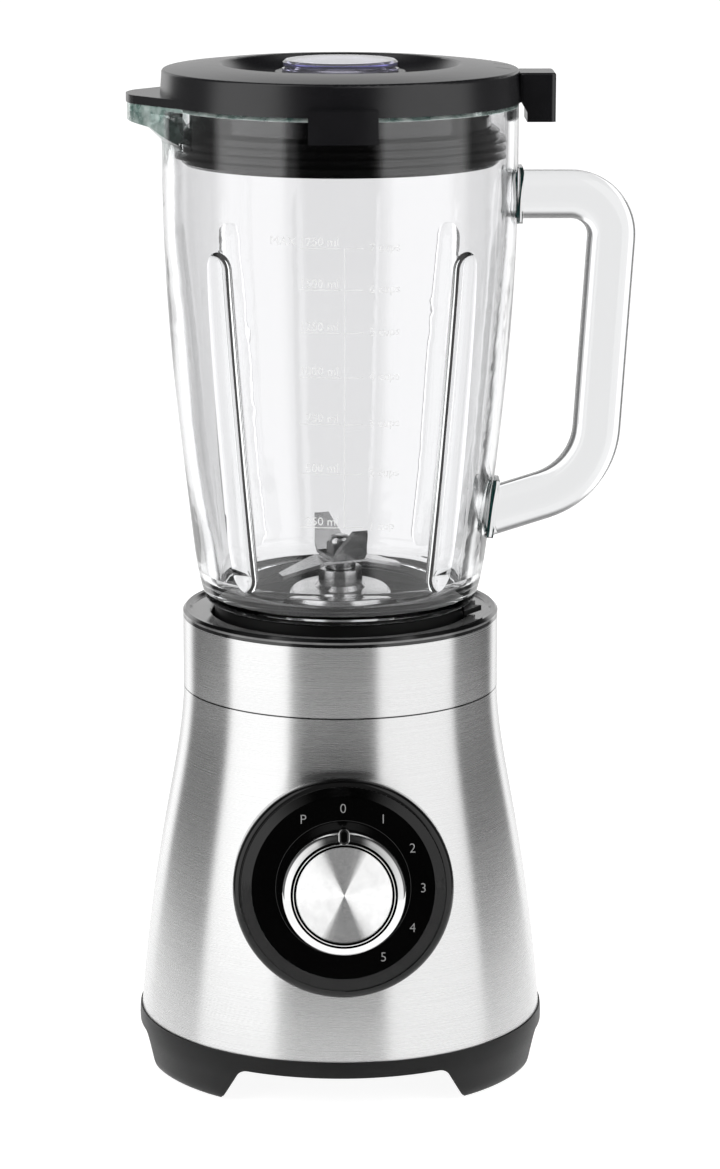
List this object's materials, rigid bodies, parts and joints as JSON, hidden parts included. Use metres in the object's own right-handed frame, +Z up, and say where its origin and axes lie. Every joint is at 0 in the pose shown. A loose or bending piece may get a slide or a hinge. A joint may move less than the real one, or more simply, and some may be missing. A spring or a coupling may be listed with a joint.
{
  "type": "countertop blender",
  "caption": "Countertop blender: flared steel motor base with a front speed knob, glass jar with a D-handle and pouring spout, bladed screw collar, lid and measuring cap.",
  "frame": {"origin": "centre of the footprint on the worktop, on the drive axis", "axes": "+Z up along the drive axis; -Y is the front with the speed knob; +X is the handle side and -X the pouring spout"},
  "size_m": [0.2123, 0.1956, 0.4302],
  "materials": {
    "black_plastic": "satin",
    "gloss_black": "polished",
    "lid_plastic": "satin",
    "steel_skin": "brushed",
    "blade_steel": "satin",
    "machine_steel": "turned",
    "chrome": "polished",
    "spun_metal": "radially brushed",
    "glass": "clear",
    "clear_plastic": "clear",
    "rubber": "matte",
    "seal": "matte",
    "lamination": "stamped",
    "copper": "enamelled wire",
    "bronze": "sintered",
    "brass": "satin",
    "carbon": "matte",
    "nylon": "satin",
    "board": "satin",
    "electrical": "satin",
    "spring_steel": "bright"
  },
  "bodies": {
    "base": {"base_frame": "black_plastic", "rubber_feet": "rubber", "base_screws": "machine_steel", "motor_housing": "steel_skin", "steel_band": "steel_skin", "cord_gland": "rubber", "deck": "gloss_black", "interlock_spring": "spring_steel", "interlock_switch": "electrical", "motor_stator": "lamination", "field_coils": "copper", "upper_bracket": "machine_steel", "lower_bracket": "machine_steel", "upper_bearing": "bronze", "lower_bearing": "bronze", "brush_holders": "brass", "carbon_brushes": "carbon", "brush_springs": "spring_steel", "motor_bolts": "machine_steel", "motor_mounts": "rubber", "dial_bezel": "gloss_black", "dial_plate": "gloss_black", "speed_switch": "electrical", "control_board": "board", "board_parts": "electrical"},
    "rotor": {"motor_shaft": "machine_steel", "armature_core": "lamination", "armature_windings": "copper", "commutator": "copper", "cooling_fan": "nylon", "drive_coupler": "black_plastic"},
    "knob": {"knob_ring": "chrome", "knob_cap": "spun_metal", "knob_pointer": "gloss_black", "switch_spindle": "machine_steel"},
    "interlock": {"interlock_pin": "nylon"},
    "blade_unit": {"jar_collar": "black_plastic", "blade_mount": "blade_steel", "jar_gasket": "seal", "blade_bush": "bronze", "shaft_seal": "seal"},
    "blades": {"driven_coupler": "black_plastic", "blade_shaft": "blade_steel", "lower_blade": "blade_steel", "upper_blade": "blade_steel", "blade_nut": "blade_steel"},
    "jar": {"glass_jar": "glass"},
    "lid": {"lid": "lid_plastic", "lid_gasket": "seal"},
    "cap": {"measuring_cap": "clear_plastic"}
  },
  "joints": [
    {"name": "motor_spin", "type": "hinge", "parent": "base", "child": "rotor", "pos_m": [0, 0, 0.1], "axis": [0, 0, 1], "continuous": true},
    {"name": "speed_knob", "type": "hinge", "parent": "base", "child": "knob", "pos_m": [0, -0.082, 0.0975], "axis": [0, 0.9866, -0.1633], "range_deg": [-30, 150]},
    {"name": "interlock_travel", "type": "slide", "parent": "base", "child": "interlock", "axis": [0, 0, 1], "range_m": [0, 0.003], "deforming": ["interlock_spring"]},
    {"name": "jar_lift", "type": "slide", "parent": "base", "child": "blade_unit", "axis": [0, 0, 1], "range_m": [0, 0.06]},
    {"name": "blade_spin", "type": "hinge", "parent": "blade_unit", "child": "blades", "pos_m": [0, 0, 0.21], "axis": [0, 0, 1], "continuous": true},
    {"name": "glass_release", "type": "slide", "parent": "blade_unit", "child": "jar", "axis": [0, 0, 1], "range_m": [0, 0.07]},
    {"name": "lid_lift", "type": "slide", "parent": "jar", "child": "lid", "axis": [0, 0, 1], "range_m": [0, 0.06]},
    {"name": "cap_lift", "type": "slide", "parent": "lid", "child": "cap", "axis": [0, 0, 1], "range_m": [0, 0.06]}
  ],
  "couplings": [
    {"joint": "blade_spin", "follows": "motor_spin", "ratio": 1},
    {"joint": "interlock_travel", "follows": "jar_lift", "ratio": 0.05}
  ]
}
